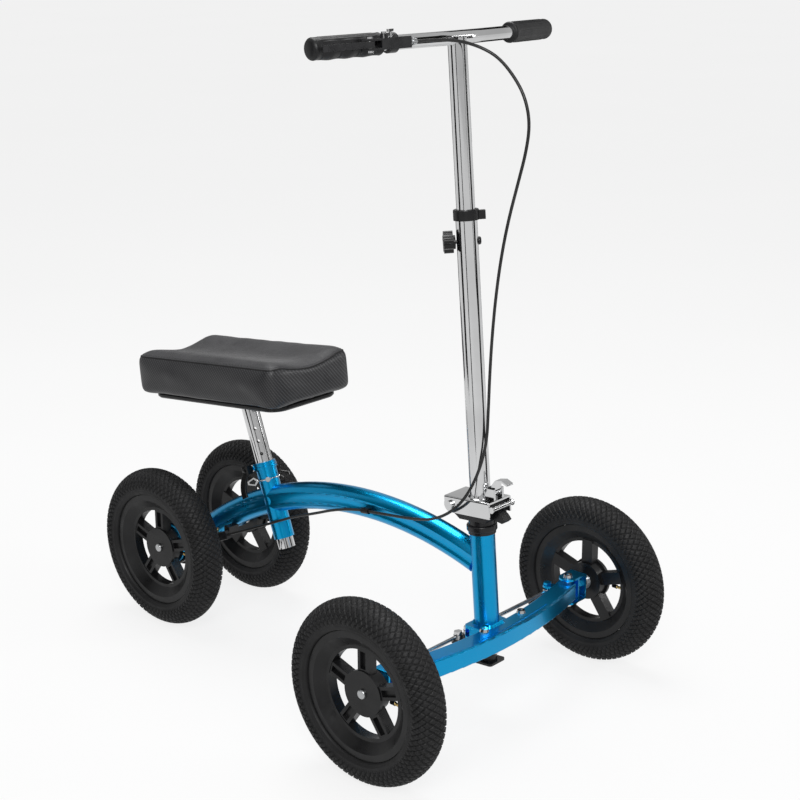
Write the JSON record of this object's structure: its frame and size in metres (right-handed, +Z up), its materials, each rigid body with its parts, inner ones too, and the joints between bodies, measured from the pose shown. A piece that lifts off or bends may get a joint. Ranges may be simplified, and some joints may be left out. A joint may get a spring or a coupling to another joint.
{
  "type": "knee scooter",
  "caption": "four-wheeled steerable knee scooter with arched tube frame, padded knee rest on an adjustable post, folding column and swept handlebar with brake lever",
  "frame": {"origin": "on the ground under the middle of the bounding box, midway between the wheel pairs", "axes": "+X forward (steered wheels), +Y the rider's left, +Z up"},
  "size_m": [1.0028, 0.652, 1.1413],
  "materials": {
    "frame_blue": "glossy metallic blue",
    "chrome": "polished",
    "steel": "brushed",
    "black_metal": "satin black",
    "black_plastic": "satin moulded",
    "tyre": "matte",
    "grip_rubber": "matte",
    "pad_cover": "synthetic leather",
    "brass": "bright",
    "cable": "smooth"
  },
  "bodies": {
    "frame": {"main_frame": "frame_blue", "headset_cups": "black_metal", "headset_bearings": "steel", "beam_screws": "chrome", "cable_clip": "black_plastic", "kingpin_bolts": "chrome", "kingpin_washers": "steel", "rear_axle": "steel", "rear_bearings": "steel", "brake_backing_plate": "black_metal", "cable_stop": "black_metal", "brake_band": "black_metal", "brake_spring": "brass", "seat_clamp_skewer": "chrome", "brake_cable_lower": "cable"},
    "brake_arm": {"brake_arm": "black_metal"},
    "seat_clamp_lever": {"seat_clamp_lever": "black_plastic"},
    "seat_lock_clip": {"seat_lock_clip": "chrome"},
    "seat": {"seat_post": "chrome", "pad_base": "black_plastic", "knee_pad": "pad_cover"},
    "steerer": {"steerer_tube": "black_metal", "fold_base": "black_metal", "pitman_arm": "black_metal", "steering_nuts": "chrome", "fold_pivot_bolt": "chrome"},
    "tie_rod_left": {"tie_rod_left": "steel"},
    "tie_rod_right": {"tie_rod_right": "steel"},
    "knuckle_left": {"knuckle_left": "frame_blue", "front_axle_left": "steel", "front_bearings_left": "steel"},
    "knuckle_right": {"knuckle_right": "frame_blue", "front_axle_right": "steel", "front_bearings_right": "steel"},
    "wheel_front_left": {"rim_front_left": "black_plastic", "tyre_front_left": "tyre"},
    "wheel_front_right": {"rim_front_right": "black_plastic", "tyre_front_right": "tyre"},
    "wheel_rear_left": {"rim_rear_left": "black_plastic", "tyre_rear_left": "tyre"},
    "wheel_rear_right": {"rim_rear_right": "black_plastic", "tyre_rear_right": "tyre", "brake_drum": "frame_blue"},
    "column": {"fold_bracket": "chrome", "lower_stem": "chrome", "cross_pin": "chrome", "height_collar": "black_plastic", "height_bolt": "black_metal", "brake_cable_middle": "cable"},
    "cam_lever": {"cam_lever": "chrome"},
    "star_knob": {"star_knob": "black_plastic"},
    "handlebar": {"handlebar": "chrome", "grip_left": "grip_rubber", "grip_right": "grip_rubber", "lever_perch": "black_metal", "lever_screws": "chrome", "cable_adjuster": "steel", "brake_cable_upper": "cable"},
    "parking_pin": {"parking_pin": "chrome"},
    "brake_lever": {"brake_lever": "black_metal"}
  },
  "joints": [
    {"name": "steer", "type": "hinge", "parent": "frame", "child": "steerer", "pos_m": [0.35, 0, 0.1525], "axis": [-0.0767, 0, 0.9971], "range_deg": [-30, 30], "deforming": ["brake_cable_lower"]},
    {"name": "knuckle_left_turn", "type": "hinge", "parent": "frame", "child": "knuckle_left", "pos_m": [0.349, 0.228, 0.1525], "axis": [0, 0, 1], "range_deg": [-30, 30]},
    {"name": "knuckle_right_turn", "type": "hinge", "parent": "frame", "child": "knuckle_right", "pos_m": [0.349, -0.228, 0.1525], "axis": [0, 0, 1], "range_deg": [-30, 30]},
    {"name": "tie_rod_left_turn", "type": "hinge", "parent": "steerer", "child": "tie_rod_left", "pos_m": [0.29756, 0.013, 0.13011], "axis": [-0.0767, 0, 0.9971], "range_deg": [-30, 30]},
    {"name": "tie_rod_right_turn", "type": "hinge", "parent": "steerer", "child": "tie_rod_right", "pos_m": [0.29756, -0.013, 0.13011], "axis": [-0.0767, 0, 0.9971], "range_deg": [-30, 30]},
    {"name": "wheel_front_left_roll", "type": "hinge", "parent": "knuckle_left", "child": "wheel_front_left", "pos_m": [0.349, 0.295, 0.1525], "axis": [0, 1, 0], "continuous": true},
    {"name": "wheel_front_right_roll", "type": "hinge", "parent": "knuckle_right", "child": "wheel_front_right", "pos_m": [0.349, -0.295, 0.1525], "axis": [0, 1, 0], "continuous": true},
    {"name": "wheel_rear_left_roll", "type": "hinge", "parent": "frame", "child": "wheel_rear_left", "pos_m": [-0.349, 0.114, 0.1525], "axis": [0, 1, 0], "continuous": true},
    {"name": "wheel_rear_right_roll", "type": "hinge", "parent": "frame", "child": "wheel_rear_right", "pos_m": [-0.349, -0.114, 0.1525], "axis": [0, 1, 0], "continuous": true},
    {"name": "column_fold", "type": "hinge", "parent": "steerer", "child": "column", "pos_m": [0.29145, 0, 0.37115], "axis": [0, -1, 0], "range_deg": [0, 60], "deforming": ["brake_cable_middle"]},
    {"name": "cam_lever_turn", "type": "hinge", "parent": "column", "child": "cam_lever", "pos_m": [0.36058, 0, 0.40606], "axis": [0, -1, 0], "range_deg": [0, 45]},
    {"name": "star_knob_turn", "type": "hinge", "parent": "column", "child": "star_knob", "pos_m": [0.27844, -0.02121, 0.80594], "axis": [0.705, 0.7071, 0.0542], "range_deg": [-360, 0]},
    {"name": "height_slide", "type": "slide", "parent": "column", "child": "handlebar", "axis": [-0.0767, 0, 0.9971], "range_m": [-0.15, 0.05], "deforming": ["brake_cable_upper"]},
    {"name": "brake_lever_pull", "type": "hinge", "parent": "handlebar", "child": "brake_lever", "pos_m": [0.27178, -0.19175, 1.12035], "axis": [0.0767, 0, -0.9971], "range_deg": [0, 8], "stiffness_Nm_per_rad": 1},
    {"name": "parking_pin_push", "type": "slide", "parent": "handlebar", "child": "parking_pin", "axis": [-0.0767, 0, 0.9971], "range_m": [-0.004, 0], "stiffness_N_per_m": 300},
    {"name": "brake_arm_pull", "type": "hinge", "parent": "frame", "child": "brake_arm", "pos_m": [-0.315, -0.0695, 0.1325], "axis": [0, 1, 0], "range_deg": [0, 8], "stiffness_Nm_per_rad": 0.5, "deforming": ["brake_spring"]},
    {"name": "seat_slide", "type": "slide", "parent": "frame", "child": "seat", "axis": [-0.3322, 0, 0.9432], "range_m": [-0.07, 0.1]},
    {"name": "seat_clamp_turn", "type": "hinge", "parent": "frame", "child": "seat_clamp_lever", "pos_m": [-0.20853, -0.025, 0.31306], "axis": [0, 1, 0], "range_deg": [0, 110]},
    {"name": "seat_lock_pull", "type": "slide", "parent": "frame", "child": "seat_lock_clip", "axis": [0.667, -0.7071, 0.2349], "range_m": [0, 0.025]}
  ],
  "couplings": [
    {"joint": "knuckle_left_turn", "follows": "steer", "ratio": 1},
    {"joint": "knuckle_right_turn", "follows": "steer", "ratio": 1},
    {"joint": "tie_rod_left_turn", "follows": "steer", "ratio": -1},
    {"joint": "tie_rod_right_turn", "follows": "steer", "ratio": -1},
    {"joint": "brake_arm_pull", "follows": "brake_lever_pull", "ratio": 1}
  ]
}
